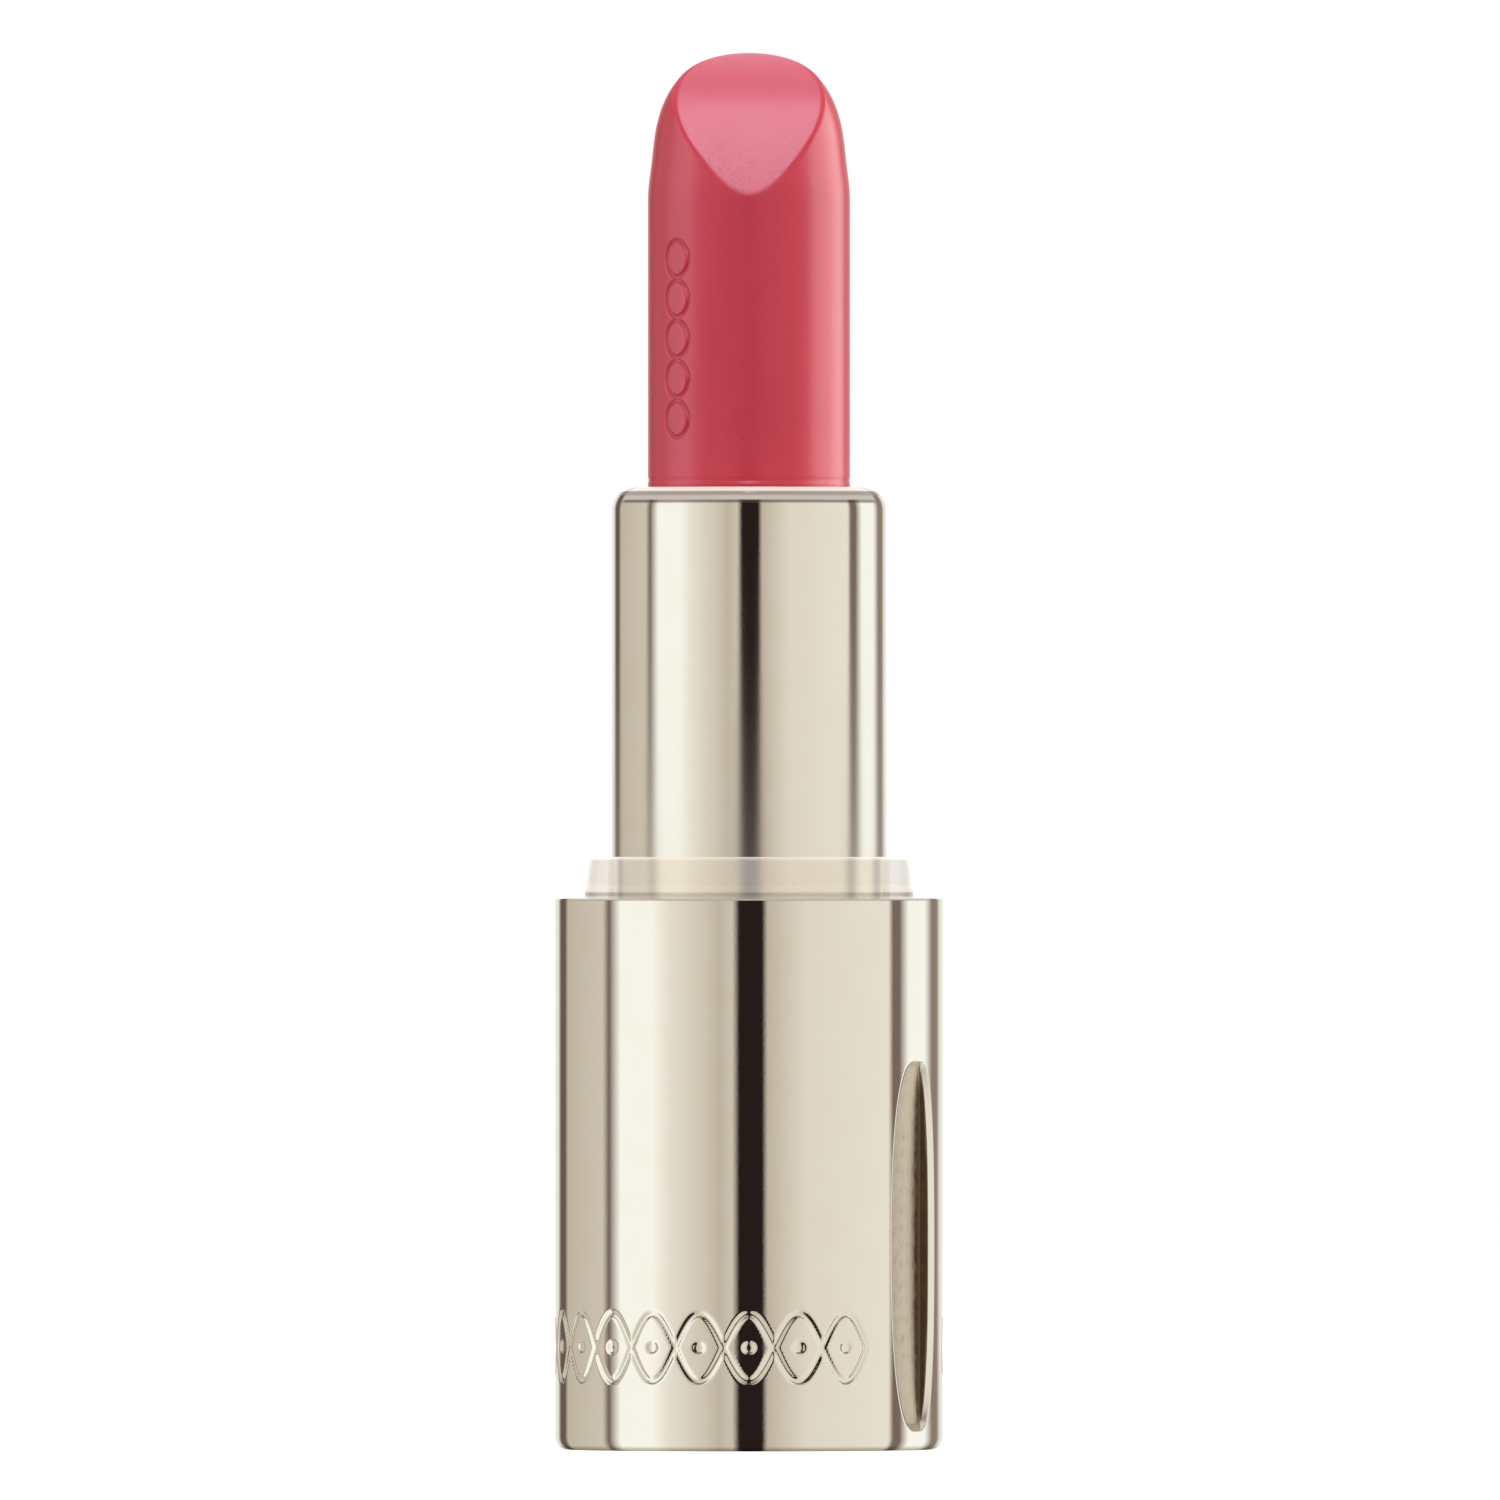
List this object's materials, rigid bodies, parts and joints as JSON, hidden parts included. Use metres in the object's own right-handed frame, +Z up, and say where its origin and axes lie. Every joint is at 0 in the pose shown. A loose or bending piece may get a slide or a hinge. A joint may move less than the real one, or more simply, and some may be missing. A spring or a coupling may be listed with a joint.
{
  "type": "lipstick case",
  "caption": "Refillable twist-up lipstick case: weighted metal base with a snap-in collar liner, anodised sleeve that turns to raise a slant-tipped bullet.",
  "frame": {"origin": "centre of the base's flat underside", "axes": "+Z up along the case's axis; the bullet's slanted face looks towards -Y; +X is to the right when looking at that face"},
  "size_m": [0.0232, 0.0232, 0.0838],
  "materials": {
    "champagne_metal": "polished",
    "champagne_aluminium": "gloss",
    "frosted_plastic": "satin",
    "label_film": "satin",
    "natural_plastic": "satin",
    "elastomer": "matte",
    "pink_pomade": "satin"
  },
  "bodies": {
    "base": {"base_shell": "champagne_metal", "base_liner": "frosted_plastic", "base_label": "label_film"},
    "refill": {"refill_foot": "natural_plastic", "refill_label": "label_film", "inner_body": "natural_plastic", "brake_ring": "elastomer"},
    "turning_sleeve": {"sleeve": "champagne_aluminium", "spiral_cam": "natural_plastic"},
    "carrier": {"cup": "natural_plastic", "bullet": "pink_pomade"}
  },
  "joints": [
    {"name": "refill_pull", "type": "slide", "parent": "base", "child": "refill", "axis": [0, 0, 1], "range_m": [0, 0.034]},
    {"name": "sleeve_twist", "type": "hinge", "parent": "refill", "child": "turning_sleeve", "pos_m": [0, 0, 0], "axis": [0, 0, 1], "range_deg": [0, 540]},
    {"name": "cup_slide", "type": "slide", "parent": "refill", "child": "carrier", "axis": [0, 0, 1], "range_m": [-0.0266, 0]}
  ],
  "couplings": [
    {"joint": "sleeve_twist", "follows": "cup_slide", "rad_per_m": -354.3}
  ]
}
